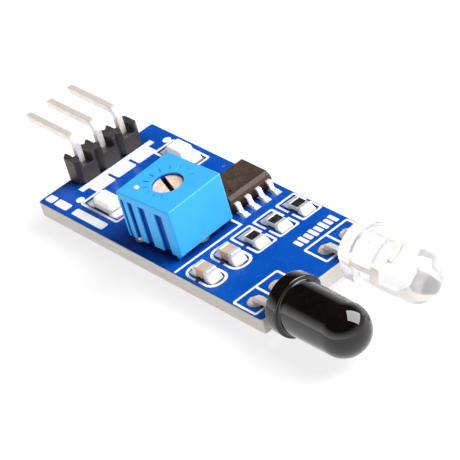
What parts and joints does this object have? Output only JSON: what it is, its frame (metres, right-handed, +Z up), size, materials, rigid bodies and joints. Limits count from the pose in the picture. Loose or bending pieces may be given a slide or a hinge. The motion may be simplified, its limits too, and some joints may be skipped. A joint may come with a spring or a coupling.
{
  "type": "infrared obstacle sensor module",
  "caption": "Infrared sensor module on a blue board: clear emitter, dark receiver, comparator, trimming potentiometer with a turning rotor, and a bent pin header.",
  "frame": {"origin": "centre of the box's underside, level with the tips of the soldered leads", "axes": "+Y along the board from the lamps to the header, +Z up out of the component side, +X across the board from the dark receiver to the clear emitter"},
  "size_m": [0.0142, 0.0486, 0.008],
  "materials": {
    "laminate": "satin glass-epoxy laminate, beige at its cut edge",
    "gold_tin": "tinned copper",
    "blue_mask": "glossy blue solder mask",
    "white_ink": "printed white ink",
    "black_plastic": "satin moulded nylon",
    "sky_plastic": "smooth moulded thermoset",
    "cream_plastic": "moulded rotor",
    "spring_metal": "plated spring alloy",
    "seal_rubber": "moulded silicone ring",
    "ceramic": "fired alumina",
    "carbon": "printed cermet ink",
    "tinned_wire": "bright tin plate",
    "potting": "poured epoxy",
    "solder": "bright solder",
    "chip_plastic": "moulded epoxy, fine grain",
    "silicon": "polished silicon",
    "gold_wire": "gold",
    "tan_ceramic": "fired dielectric",
    "end_metal": "tin-plated ends",
    "black_glaze": "fired glaze",
    "milky_epoxy": "milky epoxy",
    "clear_epoxy": "water-clear epoxy",
    "black_epoxy": "very dark infrared-passing epoxy"
  },
  "bodies": {
    "board": {"bottom_copper": "gold_tin", "bottom_solder_mask": "blue_mask", "capacitor_1": "tan_ceramic", "capacitor_2": "tan_ceramic", "capacitor_ends": "end_metal", "chip_solder": "solder", "circuit_board": "laminate", "comparator_body": "chip_plastic", "comparator_bond_wires": "gold_wire", "comparator_die": "silicon", "comparator_leads": "tinned_wire", "comparator_paddle": "spring_metal", "comparator_solder": "solder", "emitter_bond_wire": "gold_wire", "emitter_cup_lead": "tinned_wire", "emitter_die": "silicon", "emitter_lens": "clear_epoxy", "emitter_post_lead": "tinned_wire", "eye_solder": "solder", "header_housing": "black_plastic", "header_pin_1": "tinned_wire", "header_pin_2": "tinned_wire", "header_pin_3": "tinned_wire", "header_solder": "solder", "hole_plating": "gold_tin", "lamp_ends": "end_metal", "power_lamp_base": "ceramic", "power_lamp_die": "silicon", "power_lamp_lens": "milky_epoxy", "receiver_bond_wire": "gold_wire", "receiver_cup_lead": "tinned_wire", "receiver_die": "silicon", "receiver_lens": "black_epoxy", "receiver_post_lead": "tinned_wire", "resistor_1": "ceramic", "resistor_2": "ceramic", "resistor_3": "ceramic", "resistor_4": "ceramic", "resistor_5": "ceramic", "resistor_ends": "end_metal", "resistor_glaze": "black_glaze", "signal_lamp_base": "ceramic", "signal_lamp_die": "silicon", "signal_lamp_lens": "milky_epoxy", "silkscreen": "white_ink", "top_copper": "gold_tin", "top_solder_mask": "blue_mask", "trimmer_can": "sky_plastic", "trimmer_collector": "spring_metal", "trimmer_element": "ceramic", "trimmer_potting": "potting", "trimmer_resistive_track": "carbon", "trimmer_seal": "seal_rubber", "trimmer_solder": "solder", "trimmer_terminals": "tinned_wire"},
    "rotor": {"trimmer_rotor": "cream_plastic", "trimmer_wiper": "spring_metal"}
  },
  "joints": [
    {"name": "trimmer_turn", "type": "hinge", "parent": "board", "child": "rotor", "pos_m": [-0.00234, 0.00218, 0.0026], "axis": [0, 0, 1], "range_deg": [-98, 141]}
  ]
}
